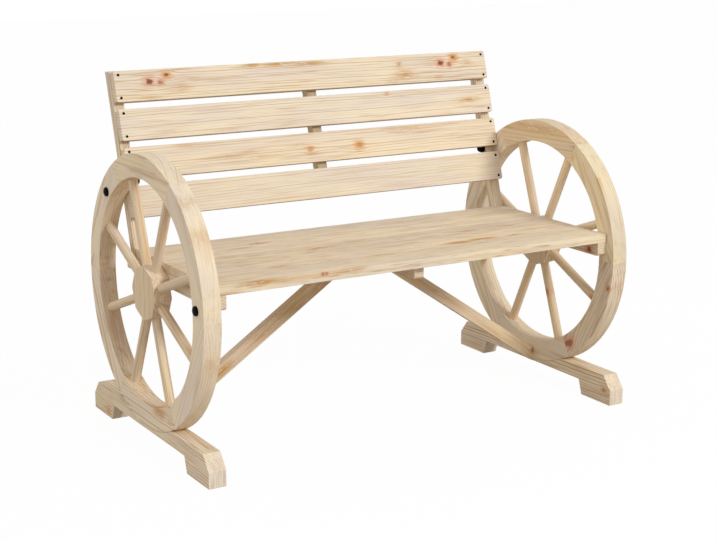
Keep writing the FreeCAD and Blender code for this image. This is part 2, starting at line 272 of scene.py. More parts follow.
def timber(name, place, ring_tilt=76.0, tone=1.0, tint=(1, 1, 1), ring=0.0062, contrast=0.95, blush=0.32,
           dash=(0.11, 0.0019, 0.0035), knots=(), flames=(), skin=None, fade=0.0, glue=None,
           painted_edge_shade=0.0, end_grain=0.0):
    """Fir as a solid: rings about a pith, streaks and fibres along the grain, knots and resin flames.

    The ring tilt is the angle of the rings to the face, from 0 for a flat-sawn piece to 90 for a
    quarter-sawn one. Ring is their width, contrast the strength of the late wood, dash the size of the
    short dark lines and blush the strength of the honey streaks. A knot is its place along and across
    the face, its radius, how warm the wood is round it and how dark its heart is. A flame is its place,
    its half length, half width and strength. Where skin is given, knots and flames show only above that
    height over the middle of the piece. Fade is the change of tone for each metre across the face. Glue
    is where a strip is joined on across the face, and how much lighter that strip is. The painted edge
    shade is a painted shade of brown, streaked along the grain, on the face that looks back across the
    grain, such as a slat's underside or a rim's inside. End grain is paler."""
    luck = random.Random(name)
    offset = luck.uniform(*offset_range)
    pith = luck.choice((-1, 1)) * luck.uniform(*pith_range)
    tilt = math.radians(ring_tilt + luck.uniform(-tilt_spread, tilt_spread))
    slant = luck.uniform(-slant_spread, slant_spread)
    tone *= luck.uniform(*tone_range)
    pale, gold, late_tone, warm = [[part * share for part, share in zip(colour, tint)] + [1.0]
                                   for colour in (early_pale, early_gold, late_wood, honey)]
    look = Finish(name)
    spot = look.node("Mapping", {"vector_type": "TEXTURE"}, Vector=look.node("TexCoord", out="Object"),
                     Location=place.translation, Rotation=place.to_euler())
    along, across, through = [look.node("SeparateXYZ", out=letter, Vector=spot) for letter in "XYZ"]

    ragged = look.cloud(spot, offset, *ragged_cloud) - cloud_middle
    lick = look.cloud(spot, offset, *lick_cloud).step(*lick_limits)
    knot_fields = [knot_field(along, across, ragged, knot) for knot in knots]
    flame_fields = [flame_field(along, across, lick, flame) for flame in flames]
    near = strongest(knot_fields, "near")
    axis = strongest(knot_fields, "axis")
    marks = [strongest(flame_fields, mark) for mark in ("resin", "edge")]
    marks += [strongest(knot_fields, mark) for mark in ("glow", "redness", "heart")]
    if skin is not None:
        outside = through.step(skin - skin_half_depth, skin + skin_half_depth)
        marks = [mark * outside for mark in marks]
    resin, edge, glow, redness, heart = marks

    bend = across + (look.cloud(spot, offset, *bend_cloud) - cloud_middle) * bend_reach
    for field in knot_fields:
        bend = bend - field["push"]
    beyond = bend - pith * math.sin(tilt)
    below = through - pith * math.cos(tilt)
    distance = (beyond * beyond + below * below).math("SQRT") + along * slant
    count = distance * (1 / ring) + offset
    growth = count.math("FRACT")
    strength = look.node("TexWhiteNoise", {"noise_dimensions": "1D"}, W=count.math("FLOOR"))
    late = growth.step(*late_rise) * (1 - growth.step(*late_fall))
    late = late * (strength * (1 - faintest_ring) + faintest_ring)
    dashes = look.cloud(spot, offset, dash, dash_detail, dash_shift).step(*line_limits)
    line = (late * contrast).math("MAXIMUM", dashes * contrast * dash_share)
    if knots:
        line = line * (near * knot_line_gain + 1.0) * (1 - axis * knot_axis_loss)

    streak = look.cloud(spot, offset, *streak_cloud).step(*line_limits)
    patch = look.cloud(spot, offset, *patch_cloud)
    fibre = look.cloud(spot, offset, *fibre_cloud)
    colour = look.mix(line, look.mix(patch.step(*patch_limits), pale, gold), late_tone)
    colour = look.mix(streak * blush, colour, warm)
    level = (patch - cloud_middle) * patch_depth + (fibre - cloud_middle) * fibre_depth + tone
    if fade:
        level = level + across * fade
    if glue:
        joint, lighter = glue
        level = level + across.step(joint - glue_half_width, joint + glue_half_width) * lighter
    if end_grain:
        end = look.facing(place.to_3x3().col[0]).math("ABSOLUTE").step(*end_facing)
        stripes = look.cloud(spot, offset, *stripe_cloud).step(*stripe_limits)
        colour = look.mix(end * end_grain, colour, look.mix(stripes * stripe_share, end_pale, late_tone))
    colour = look.scale(colour, level)
    # Painted shade: the face looking back across the grain, such as a slat's underside or a rim's inside, is
    # browned in streaks along the grain.
    if painted_edge_shade:
        shaded_face = look.facing(-place.to_3x3().col[1]).step(*edge_facing)
        colour = look.mix(shaded_face * (streak * edge_shade_streaks + edge_shade_least) * painted_edge_shade, colour, edge_shade_brown)
    if flames:
        colour = look.mix(resin, colour, resin_gold)
        colour = look.mix(edge, colour, resin_edge)
    if knots:
        colour = look.mix(glow, colour, amber)
        colour = look.mix((line * near).math("MINIMUM", amber_line_limit), colour, amber)
        colour = look.mix(redness, colour, rose)
        colour = look.mix(heart, colour, knot_heart)
    bump = look.node("Bump", Strength=bump_strength, Distance=bump_depth,
                     Height=fibre * fibre_bump + late * late_bump)
    look.set(Base_Color=colour, Roughness=fibre * fibre_roughness + wood_roughness, Normal=bump)
    look.set(Specular_IOR_Level=wood_specular)
    return look.material


shading_angle = math.radians(40)


def make(shape, name, look, node):
    """Turns a finished closed mesh into a piece of the bench, shown in place of its CAD node."""
    bmesh.ops.recalc_face_normals(shape, faces=shape.faces)
    # That can turn a shallow dome inside out.
    if shape.calc_volume(signed=True) < 0:
        bmesh.ops.reverse_faces(shape, faces=shape.faces)
    mesh = bpy.data.meshes.new(name)
    shape.to_mesh(mesh)
    shape.free()
    mesh.shade_smooth()
    mesh.set_sharp_from_angle(angle=shading_angle)
    mesh.materials.append(look)
    piece = bpy.data.objects.new(name, mesh)
    bpy.context.scene.collection.objects.link(piece)
    even = piece.modifiers.new("even_shading", "WEIGHTED_NORMAL")
    even.keep_sharp = True
    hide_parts(node)
    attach(piece, "root")


ease_segments = 3
along_bench = Vector((1, 0, 0))
rim_low, rim_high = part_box("right_felloe_4")
hub_low, hub_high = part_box("right_hub")
axle_height = (hub_low.z + hub_high.z) / 2
rim_radius = axle_height - rim_low.z
rim_width = 0.0505
rim_middle = rim_radius - rim_width / 2
rim_thickness = rim_high.x - rim_low.x
rim_ease = 0.001
wheel_middles = {"left": -(rim_low.x + rim_high.x) / 2, "right": (rim_low.x + rim_high.x) / 2}
felloe_count = 6
felloe_steps = 26
felloe_sweep = 2 * math.pi / felloe_count
first_felloe_joint = math.radians(60)


def wheel_direction(angle):
    """Unit vector in the wheel's plane, from the rear (0) over the top to the front (pi)."""
    return Vector((0, math.cos(angle), math.sin(angle)))


def felloe(middle, start):
    """A sanded section turned about the axle."""
    shape = bmesh.new()
    bmesh.ops.create_grid(shape, x_segments=1, y_segments=1, size=0.5)
    bmesh.ops.scale(shape, vec=(rim_thickness, rim_width, 1), verts=shape.verts)
    bmesh.ops.bevel(shape, geom=shape.verts[:], offset=rim_ease, affect="VERTICES", segments=ease_segments,
                    profile=0.5, material=-1)
    outward = wheel_direction(start)
    axle = Vector((middle, 0, axle_height))
    stand = grain_frame(axle + outward * rim_middle, along_bench, along_bench.cross(outward))
    bmesh.ops.transform(shape, matrix=stand, verts=shape.verts)
    bmesh.ops.spin(shape, geom=shape.verts[:] + shape.edges[:] + shape.faces[:], cent=axle,
                   axis=along_bench, angle=felloe_sweep, steps=felloe_steps)
    return shape


felloe_fir = dict(ring_tilt=14.0, contrast=0.9, dash=(0.11, 0.012, 0.0024))
# The inside of the left rim is browned by painted shade.
wheel_fir = {"left": dict(tone=1.03, painted_edge_shade=0.38), "right": dict(tone=0.98, skin=0.012)}
felloe_figure = {
    "left_felloe_1": dict(ring_tilt=40.0, contrast=0.75, tint=(0.98, 0.97, 0.93)),
    "left_felloe_2": dict(contrast=0.4, flames=((-0.100, 0.008, 0.020, 0.008, 0.3),
                                                (-0.020, 0.025, 0.025, 0.006, 0.3))),
    "left_felloe_3": dict(contrast=0.5, flames=((-0.060, 0.018, 0.040, 0.006, 0.25),)),
    "left_felloe_4": dict(ring_tilt=36.0, contrast=1.2, flames=((-0.062, -0.024, 0.025, 0.010, 0.9),),
                          knots=((-0.045, -0.026, 0.007, 0.3, 0.0), (-0.078, -0.026, 0.008, 0.35, 0.0),
                                 (-0.118, -0.020, 0.006, 0.3, 0.0))),
    "right_felloe_1": dict(tint=(0.93, 0.88, 0.80), flames=((0.000, 0.004, 0.120, 0.012, 0.5),
                                                            (-0.060, 0.010, 0.050, 0.010, 0.5))),
    "right_felloe_2": dict(contrast=0.6, tint=(0.97, 0.97, 0.92),
                           knots=((-0.129, -0.037, 0.006, 0.4, 0.0),),
                           flames=((-0.040, 0.022, 0.040, 0.006, 0.5),)),
    "right_felloe_3": dict(ring_tilt=40.0, contrast=1.15,
                           knots=((-0.087, 0.003, 0.005, 0.8, 0.5), (0.116, -0.029, 0.010, 0.7, 0.6),
                                  (0.124, -0.036, 0.008, 0.7, 0.6))),
}
for side, middle in wheel_middles.items():
    for number in range(felloe_count):
        start = first_felloe_joint + felloe_sweep * number
        half_way = start + felloe_sweep / 2
        centre = Vector((middle, 0, axle_height)) + wheel_direction(half_way) * rim_middle
        place = grain_frame(centre, wheel_direction(half_way + math.pi / 2), -along_bench)
        name = side + "_felloe_%d" % (number + 1)
        figure = felloe_fir | wheel_fir[side] | felloe_figure.get(name, {})
        look = timber(name + "_fir", place, **figure)
        make(felloe(middle, start), name + "_sawn", look, name)


# Dowels: short turned pins of beech, glued across the joints of the rims and into the ends of the braces.
# They are hidden once the bench is together, so they keep their plain shape and get only their wood.
dowel_tone = 0.92
dowel_place = grain_frame((0, 0, axle_height), along_bench, (0, 0, 1))
dowel_look = timber("dowel_beech", dowel_place, tone=dowel_tone)
for name in ("felloe_dowels", "brace_dowels"):
    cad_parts[name].data.materials[0] = dowel_look


# Hubs: an eight-sided block at the middle of each wheel, glued up from two strips of fir with the grain
# upright. A spoke is set into each flat, and the edges of both faces are planed off.
spoke_count = 8
first_spoke = math.radians(25)
hub_across_flats = 0.112
hub_face_ease = 0.002
hub_corner_ease = 0.0008
hub_fir = dict(tone=0.93, tint=(1.0, 0.94, 0.88), glue=(0.006, 0.05), end_grain=0.55)
squarely = 0.9


def round_over(shape, edges, radius):
    """Rounds some edges of a piece."""
    bmesh.ops.bevel(shape, geom=edges, offset=radius, affect="EDGES", segments=ease_segments, profile=0.5,
                    material=-1)


def hub(middle):
    """An eight-sided block that lies along the axle, with its flats towards the spokes."""
    shape = bmesh.new()
    corner_radius = hub_across_flats / 2 / math.cos(math.pi / spoke_count)
    bmesh.ops.create_cone(shape, cap_ends=True, segments=spoke_count, radius1=corner_radius,
                          radius2=corner_radius, depth=rim_thickness)
    corner = wheel_direction(first_spoke + math.pi / spoke_count)
    stand = grain_frame((middle, 0, axle_height), corner, along_bench)
    bmesh.ops.transform(shape, matrix=stand, verts=shape.verts)
    corners = [edge for edge in shape.edges
               if abs((edge.verts[0].co - edge.verts[1].co).x) > rim_thickness / 2]
    round_over(shape, corners, hub_corner_ease)
    faces = [face for face in shape.faces if abs(face.normal.x) > squarely]
    round_over(shape, list({edge for face in faces for edge in face.edges}), hub_face_ease)
    return shape


for side, middle in wheel_middles.items():
    place = grain_frame((middle, 0, axle_height), (0, 0, 1), -along_bench)
    look = timber(side + "_hub_fir", place, **hub_fir)
    make(hub(middle), side + "_hub_block", look, side + "_hub")


# Spokes: eight round dowels a wheel, turned from straight-grained fir, glued into the flats of the hub
# and into the inside of the rim.
spoke_diameter = 0.0205
spoke_hub_depth = 0.015
spoke_rim_depth = 0.020
spoke_sides = 40
spoke_start = hub_across_flats / 2 - spoke_hub_depth
spoke_end = rim_radius - rim_width + spoke_rim_depth
spoke_fir = dict(ring=0.0045, contrast=0.85, tint=(1, 0.96, 0.90), blush=0.6)
spoke_tone = {"left": 0.95, "right": 0.98}
spoke_knots = {"right_spoke_5": ((0.080, 0.0, 0.005, 0.6, 0.35),),
               "right_spoke_6": ((-0.024, 0.0, 0.005, 0.6, 0.4),)}

for side, middle in wheel_middles.items():
    for number in range(spoke_count):
        outward = wheel_direction(first_spoke + 2 * math.pi / spoke_count * number)
        centre = Vector((middle, 0, axle_height)) + outward * (spoke_start + spoke_end) / 2
        shape = bmesh.new()
        bmesh.ops.create_cone(shape, cap_ends=True, segments=spoke_sides, radius1=spoke_diameter / 2,
                              radius2=spoke_diameter / 2, depth=spoke_end - spoke_start)
        bmesh.ops.transform(shape, matrix=grain_frame(centre, along_bench, outward), verts=shape.verts)
        name = side + "_spoke_%d" % (number + 1)
        look = timber(name + "_fir", grain_frame(centre, outward, -along_bench), tone=spoke_tone[side],
                      knots=spoke_knots.get(name, ()), **spoke_fir)
        make(shape, name + "_turned", look, name)


# Runners: the feet of the bench, one beam under each wheel with the rim let into a hollow on top, an
# arch between two pads below, and bevelled ends. Sawn from strongly grained fir.
def new_verts(made):
    """The vertices among what an operator made."""
    return [item for item in made["geom"] if isinstance(item, bmesh.types.BMVert)]


def push(shape, face, travel):
    """Gives a flat outline its thickness."""
    pushed = bmesh.ops.extrude_face_region(shape, geom=[face])
    bmesh.ops.translate(shape, vec=travel, verts=new_verts(pushed))
    bmesh.ops.recalc_face_normals(shape, faces=shape.faces)


sharp_angle = math.radians(30)


def sand(shape, ease):
    """Rounds every sharp edge."""
    sharp = [edge for edge in shape.edges if edge.calc_face_angle(0.0) > sharp_angle]
    round_over(shape, sharp, ease)


runner_end_slope = 0.025
runner_end_height = 0.0355
runner_arch_height = 0.035
foot_length = 0.1025
foot_slope = 0.0115
runner_ease = 0.0008
hollow_gap = 0.0003
hollow_steps = 24
runner_fir = dict(ring_tilt=38.0, ring=0.0045, contrast=1.7)
runner_figure = {"left": dict(end_grain=1.0, knots=((0.220, 0.019, 0.007, 0.4, 0.2),)),
                 "right": dict(end_grain=0.75, knots=((-0.278, 0.001, 0.005, 0.5, 0.4),))}


def runner(low, high):
    """Outline from the front end of the hollow down round both feet, with the hollow as an arc."""
    hollow_radius = rim_radius + hollow_gap
    hollow_half = math.sqrt(hollow_radius ** 2 - (axle_height - high.z) ** 2)
    foot = high.y - foot_length
    rear = [(foot - foot_slope, low.z + runner_arch_height), (foot, low.z), (high.y, low.z)]
    rear += [(high.y, low.z + runner_end_height), (high.y - runner_end_slope, high.z), (hollow_half, high.z)]
    front = [(-depth, height) for depth, height in reversed(rear)]
    shape = bmesh.new()
    corners = [shape.verts.new((low.x, depth, height)) for depth, height in front + rear]
    for one, other in zip(corners, corners[1:]):
        shape.edges.new((one, other))
    hollow_angle = 2 * math.asin(hollow_half / hollow_radius)
    bmesh.ops.spin(shape, geom=[corners[-1]], cent=(low.x, 0, axle_height), axis=along_bench,
                   angle=-hollow_angle, steps=hollow_steps)
    bmesh.ops.remove_doubles(shape, verts=shape.verts, dist=hollow_gap / 2)
    made = bmesh.ops.contextual_create(shape, geom=shape.edges[:])
    push(shape, made["faces"][0], (high.x - low.x, 0, 0))
    sand(shape, runner_ease)
    return shape


for side in wheel_middles:
    low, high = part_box(side + "_runner")
    place = grain_frame((low + high) / 2, (0, 1, 0), -along_bench)
    look = timber(side + "_runner_fir", place, **runner_fir, **runner_figure[side])
    make(runner(low, high), side + "_runner_sawn", look, side + "_runner")


# Bearers: three square rails of fir across the underside of the seat, with the lower front corner cut
# away. The side ones are bolted to the rims, and the braces hold up the middle one.
def sawn(outline, travel, ease):
    """Timber sawn to a flat outline, pushed along a vector and sanded."""
    shape = bmesh.new()
    face = shape.faces.new([shape.verts.new(point) for point in outline])
    push(shape, face, travel)
    sand(shape, ease)
    return shape


def sawn_along(outline, low, high, ease):
    """Timber with an outline of depths and heights, sawn along the bench between two corners of a box."""
    return sawn([(low.x, depth, height) for depth, height in outline], (high.x - low.x, 0, 0), ease)


bearer_nose = 0.004
bearer_ease = 0.001
bearer_tone = 0.96
bearer_knots = {"right_bearer": ((-0.191, 0.005, 0.007, 0.6, 0.8),)}
for name in ("left_bearer", "centre_bearer", "right_bearer"):
    low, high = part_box(name)
    outline = [(low.y, high.z), (low.y, low.z + bearer_nose), (low.y + bearer_nose, low.z)]
    outline += [(high.y, low.z), (high.y, high.z)]
    place = grain_frame((low + high) / 2, (0, 1, 0), -along_bench)
    look = timber(name + "_fir", place, tone=bearer_tone, knots=bearer_knots.get(name, ()))
    make(sawn_along(outline, low, high, bearer_ease), name + "_sawn", look, name)


# Seat: three fir boards laid edge to edge and screwed up from the bearers. The rear edge is bevelled to
# lie against the leaning posts.
back_lean = math.radians(16.8)
seat_ease = 0.0007
seat_bevels = {"rear": math.tan(back_lean), "middle": 0, "front": 0}
seat_fir = dict(fade=-0.7, dash=(0.06, 0.0022, 0.0035), blush=0.5, skin=0.002)
seat_figure = {
    "rear": dict(
        tone=0.965, contrast=1.2,
        knots=((-0.487, -0.010, 0.0035, 0.4, 0.7), (-0.251, -0.004, 0.0045, 0.0, 0.6),
               (-0.236, -0.001, 0.0045, 0.0, 0.5)),
        flames=((-0.233, -0.007, 0.025, 0.006, 0.9), (-0.285, -0.030, 0.030, 0.006, 0.7),
                (-0.188, -0.025, 0.030, 0.005, 0.3), (0.180, 0.030, 0.060, 0.006, 0.25))),
    "middle": dict(
        tone=0.99, contrast=1.7,
        knots=((0.159, -0.064, 0.005, 0.0, 0.1), (0.307, -0.060, 0.004, 0.0, 0.2),
               (-0.158, 0.040, 0.0045, 0.0, 0.6), (-0.143, 0.044, 0.0045, 0.0, 0.5)),
        flames=((0.348, 0.029, 0.028, 0.005, 1.0), (0.232, 0.029, 0.028, 0.005, 1.0),
                (-0.139, 0.040, 0.040, 0.006, 0.9), (-0.049, 0.061, 0.035, 0.005, 0.7),
                (-0.303, -0.068, 0.030, 0.006, 0.8), (0.020, -0.020, 0.060, 0.005, 0.3),
                (0.150, -0.066, 0.030, 0.010, 1.5), (0.215, -0.060, 0.035, 0.008, 1.5),
                (0.305, -0.063, 0.025, 0.005, 1.0))),
    "front": dict(
        tone=0.955, contrast=1.3,
        knots=((-0.250, -0.0415, 0.0035, 0.6, 0.45), (-0.242, -0.0415, 0.003, 0.6, 0.35)),
        flames=((-0.390, -0.040, 0.045, 0.010, 1.0), (-0.190, -0.040, 0.040, 0.008, 0.5),
                (-0.066, 0.036, 0.030, 0.004, 0.6))),
}
for row, bevel in seat_bevels.items():
    name = "seat_board_" + row
    low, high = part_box(name)
    outline = [(high.y - (high.z - low.z) * bevel, low.z), (high.y, high.z), (low.y, high.z), (low.y, low.z)]
    place = grain_frame((low + high) / 2, along_bench, (0, 0, 1))
    look = timber(name + "_fir", place, **seat_fir, **seat_figure[row])
    make(sawn_along(outline, low, high, seat_ease), name + "_planed", look, name)


# Posts: two square uprights of fir that lean back, cut level at foot and head. Each stands on a side
# bearer, with a screw up into its foot, and is bolted to its rim.
post_depth = 0.024
post_ease = 0.001
post_tone = 0.90
level_cut = post_depth / math.cos(back_lean)
up_post = Vector((0, math.sin(back_lean), math.cos(back_lean)))
into_post = Vector((0, math.cos(back_lean), -math.sin(back_lean)))
for side in wheel_middles:
    low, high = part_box(side + "_post")
    outline = [(low.y, low.z), (low.y + level_cut, low.z), (high.y, high.z), (high.y - level_cut, high.z)]
    place = grain_frame((low + high) / 2, up_post, -into_post)
    look = timber(side + "_post_fir", place, tone=post_tone)
    make(sawn_along(outline, low, high, post_ease), side + "_post_sawn", look, side + "_post")


# Back slats: four fir boards with rounded corners, screwed to the posts at each end. The top one has the
# most knots.
def plank(place, length, width, thickness, corner_radius, ease):
    """Straight board with its grain lengthwise and its corners cut round."""
    shape = bmesh.new()
    bmesh.ops.create_cube(shape, size=1.0)
    bmesh.ops.scale(shape, vec=(length, width, thickness), verts=shape.verts)
    if corner_radius:
        corners = [edge for edge in shape.edges
                   if abs(edge.verts[0].co.z - edge.verts[1].co.z) > thickness / 2]
        round_over(shape, corners, corner_radius)
    sand(shape, ease)
    bmesh.ops.transform(shape, matrix=place, verts=shape.verts)
    return shape


slat_width = 0.0688
slat_thickness = 0.019
slat_corner_radius = 0.005
slat_ease = 0.0012
# The undersides of the slats are browned by painted shade.
slat_fir = dict(tone=0.97, blush=0.2, painted_edge_shade=0.9)
slat_figure = {
    "back_slat_1": dict(
        tint=(0.965, 0.985, 1.03), contrast=0.7,
        flames=((-0.342, 0.009, 0.040, 0.003, 0.25), (-0.111, -0.026, 0.060, 0.003, 0.3),
                (0.048, 0.017, 0.060, 0.003, 0.25))),
    "back_slat_2": dict(
        knots=((-0.036, -0.004, 0.006, 0.65, 0.2), (0.095, -0.004, 0.0075, 0.75, 0.25)),
        flames=((-0.343, 0.028, 0.030, 0.005, 0.4), (-0.242, -0.004, 0.040, 0.006, 0.45),
                (-0.195, 0.002, 0.035, 0.005, 0.4), (-0.168, -0.011, 0.030, 0.004, 0.4),
                (-0.065, 0.008, 0.030, 0.005, 0.4), (0.237, 0.025, 0.060, 0.006, 0.5),
                (0.372, -0.008, 0.035, 0.003, 0.3))),
    "back_slat_3": dict(
        tint=(1, 1.02, 1.07), knots=((0.191, 0.028, 0.0035, 0.3, 0.3),),
        flames=((0.423, -0.001, 0.030, 0.006, 0.9), (0.416, -0.016, 0.035, 0.003, 0.4),
                (-0.384, -0.020, 0.035, 0.004, 0.35), (-0.239, -0.027, 0.040, 0.004, 0.35))),
    "back_slat_4": dict(
        tint=(1.01, 1.02, 1.04), contrast=1.1,
        knots=((-0.409, 0.007, 0.0080, 0.6, 0.85), (-0.383, 0.004, 0.006, 0.6, 0.55),
               (-0.367, 0.019, 0.0075, 0.7, 0.2), (-0.366, 0.020, 0.0045, 0.2, 0.8),
               (0.357, 0.010, 0.0080, 0.6, 0.85), (0.382, 0.005, 0.006, 0.6, 0.55),
               (0.396, 0.021, 0.0075, 0.7, 0.2), (0.395, 0.022, 0.0045, 0.2, 0.8),
               (0.238, 0.013, 0.0045, 0.35, 0.3)),
        flames=((-0.335, -0.010, 0.024, 0.009, 0.55), (-0.304, 0.007, 0.034, 0.006, 0.4),
                (-0.255, 0.001, 0.025, 0.004, 0.3), (-0.410, -0.028, 0.025, 0.004, 0.5),
                (-0.154, 0.031, 0.022, 0.005, 1.0), (-0.085, 0.030, 0.045, 0.005, 1.0),
                (-0.007, 0.027, 0.045, 0.005, 0.9), (0.250, -0.014, 0.028, 0.012, 0.9),
                (0.217, -0.025, 0.020, 0.006, 0.5), (0.432, 0.009, 0.015, 0.007, 0.5),
                (0.345, -0.025, 0.012, 0.004, 0.6))),
}
slat_places = []
for name, figure in slat_figure.items():
    low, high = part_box(name)
    place = grain_frame((low + high) / 2, along_bench, -into_post)
    slat_places.append(place)
    shape = plank(place, high.x - low.x, slat_width, slat_thickness, slat_corner_radius, slat_ease)
    look = timber(name + "_fir", place, **slat_fir, **figure)
    make(shape, name + "_planed", look, name)


# Batten: one upright strip of fir behind the slats, halfway along the bench, screwed on from the
# back so that the slats bend together. Its dark, brown tone is a painted shade for the shadow between the
# slats.
# Painted shade: the low tone and brown tint stand for the shadow the batten sits in.
batten_shaded_fir = dict(tone=0.66, tint=(0.97, 0.91, 0.79))
low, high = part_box("back_batten")
batten_length = (high.z - low.z - post_depth * math.sin(back_lean)) / math.cos(back_lean)
place = grain_frame((low + high) / 2, up_post, -into_post)
shape = plank(place, batten_length, high.x - low.x, post_depth, 0, post_ease)
look = timber("back_batten_fir", place, **batten_shaded_fir)
make(shape, "back_batten_sawn", look, "back_batten")


# Braces: two diagonals of fir from the sides of the centre bearer down to the feet of the wheels, cut to
# fit and dowelled at both ends.
brace_foot_height = 0.068
brace_seat_contact = 0.010
brace_ease = 0.001
brace_fir = dict(tone=1.01, tint=(1, 0.96, 0.90))
brace_figure = {
    # The left brace's two wide streaks towards its head are resin figure and also a painted shade for the
    # seat's shadow over its upper part.
    "left": dict(
        flames=((0.125, -0.004, 0.030, 0.009, 1.0), (0.006, -0.004, 0.050, 0.008, 0.5),
                (-0.080, -0.006, 0.060, 0.010, 0.6), (-0.180, 0.002, 0.060, 0.012, 0.6))),
    "right": dict(
        knots=((0.279, 0.010, 0.008, 0.2, 0.5),),
        flames=((-0.050, 0.004, 0.080, 0.006, 0.5), (0.150, -0.004, 0.060, 0.006, 0.4),
                (-0.170, 0.002, 0.060, 0.010, 0.5))),
}
for side, way in (("left", -1), ("right", 1)):
    low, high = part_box(side + "_brace")
    head, foot = sorted((low.x * way, high.x * way))
    slope = (high.z - brace_foot_height) / (foot - head - brace_seat_contact)
    outline = [(head, high.z), (head + brace_seat_contact, high.z), (foot, brace_foot_height), (foot, low.z)]
    outline += [(head, low.z + slope * (foot - head))]
    corners = [(across * way, low.y, height) for across, height in outline]
    shape = sawn(corners, (0, high.y - low.y, 0), brace_ease)
    place = grain_frame((low + high) / 2, (way, 0, -slope), (0, -1, 0))
    look = timber(side + "_brace_fir", place, **brace_fir, **brace_figure[side])
    make(shape, side + "_brace_sawn", look, side + "_brace")


# Screws: blackened steel wood screws with low crowned heads and a cross cut, drawn down onto the wood.
# They hold the slats to the posts and the batten, and come up from below into seat, posts and rims.
steel_black = paint(5, 5, 5)
steel_worn = paint(14, 13, 12)
steel_cloud = ((0.002, 0.002, 0.002), 3.0, 4.0)
steel_roughness = 0.4
steel_unevenness = 0.25
steel_specular = 0.07


def steel(name):
    """Blackened steel with a satin face."""
    look = Finish(name)
    grain = look.cloud(look.node("TexCoord", out="Object"), 0, *steel_cloud)
    look.set(Base_Color=look.mix(grain, steel_black, steel_worn))
    look.set(Roughness=grain * steel_unevenness + steel_roughness, Specular_IOR_Level=steel_specular)
    return look.material


screw_radius = 0.00325
screw_top_share = 0.85
screw_crown = 0.001
screw_sunk = 0.0006
screw_sides = 24
cross_half_width = 0.0005
cross_reach = 0.0018
cross_depth = 0.0007
screw_steel = steel("screw_black")


def seat_head(shape, head, seat, outward):
    """Turns a finished head to face outward from its seat, and adds it to a mesh of many."""
    bmesh.ops.transform(head, matrix=grain_frame(seat, outward.orthogonal(), outward), verts=head.verts)
    mesh = bpy.data.meshes.new("head")
    head.to_mesh(mesh)
    head.free()
    shape.from_mesh(mesh)
    bpy.data.meshes.remove(mesh)


def screw_head(shape, seat, outward):
    """Adds one crowned head with a cross cut to a mesh of many."""
    head = bmesh.new()
    height = screw_crown + screw_sunk
    bmesh.ops.create_cone(head, cap_ends=True, segments=screw_sides, radius1=screw_radius,
                          radius2=screw_radius * screw_top_share, depth=height)
    for across in ((1, 0, 0), (0, 1, 0)):
        for cut in (-cross_reach, -cross_half_width, cross_half_width, cross_reach):
            crown = [face for face in head.faces if face.normal.z > squarely]
            rim = {edge for face in crown for edge in face.edges}
            bmesh.ops.bisect_plane(head, geom=crown + list(rim), plane_co=Vector(across) * cut,
                                   plane_no=across)
    cross = []
    for face in head.faces:
        spot = face.calc_center_median()
        lengthwise, sideways = max(abs(spot.x), abs(spot.y)), min(abs(spot.x), abs(spot.y))
        if face.normal.z > squarely and lengthwise < cross_reach and sideways < cross_half_width:
            cross.append(face)
    pushed = bmesh.ops.extrude_face_region(head, geom=cross)
    bmesh.ops.translate(head, vec=(0, 0, -cross_depth), verts=new_verts(pushed))
    bmesh.ops.delete(head, geom=cross, context="FACES_ONLY")
    seat_head(shape, head, seat + outward * (screw_crown - height / 2), outward)


def screws(name, seats, outward):
    """One group of like screws, all facing the same way."""
    shape = bmesh.new()
    for seat in seats:
        screw_head(shape, seat, outward)
    make(shape, name + "_black", screw_steel, name)


slat_screw_inset = 0.0092
screw_rise = slat_width / 2 - slat_screw_inset
post_middle = sum(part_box("right_post"), Vector()).x / 2
slat_seats = [place @ Vector((across, rise, slat_thickness / 2)) for place in slat_places
              for across in (-post_middle, post_middle) for rise in (-screw_rise, screw_rise)]
screws("slat_screws", slat_seats, -into_post)
batten_seats = [place @ Vector((0, rise, -slat_thickness / 2 - post_depth)) for place in slat_places
                for rise in (-screw_rise, screw_rise)]
screws("batten_screws", batten_seats, into_post)

down = Vector((0, 0, -1))
bearer_low, bearer_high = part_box("right_bearer")
bearer_middle = (bearer_low.x + bearer_high.x) / 2
seat_screw_shares = {"rear": (0.25, 0.75), "middle": (0.25, 0.75), "front": (0.5,)}
seat_seats = []
for row, shares in seat_screw_shares.items():
    low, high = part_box("seat_board_" + row)
    for share in shares:
        for across in (-bearer_middle, 0, bearer_middle):
            seat_seats.append(Vector((across, high.y + (low.y - high.y) * share, bearer_low.z)))
screws("seat_screws", seat_seats, down)

low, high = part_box("post_screws")
post_seats = [Vector((across, (low.y + high.y) / 2, low.z)) for across in (-bearer_middle, bearer_middle)]
screws("post_screws", post_seats, down)

low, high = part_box("runner_screws")
runner_seats = [Vector((middle, depth, low.z)) for middle in wheel_middles.values()
                for depth in (low.y + screw_radius, high.y - screw_radius)]
screws("runner_screws", runner_seats, down)


# Bolts: coach bolts of blackened steel with plain domed heads. Two hold each post to its rim, one from
# either side, and one holds the side bearer. The inner ones stand taller.
bolt_radius = 0.010
bolt_rim = 0.004
bolt_rim_ease = 0.0008
bolt_sides = 40
bolt_rings = 40
outer_bolt_height = 0.007
inner_bolt_height = 0.0155
bolt_steel = steel("bolt_black")


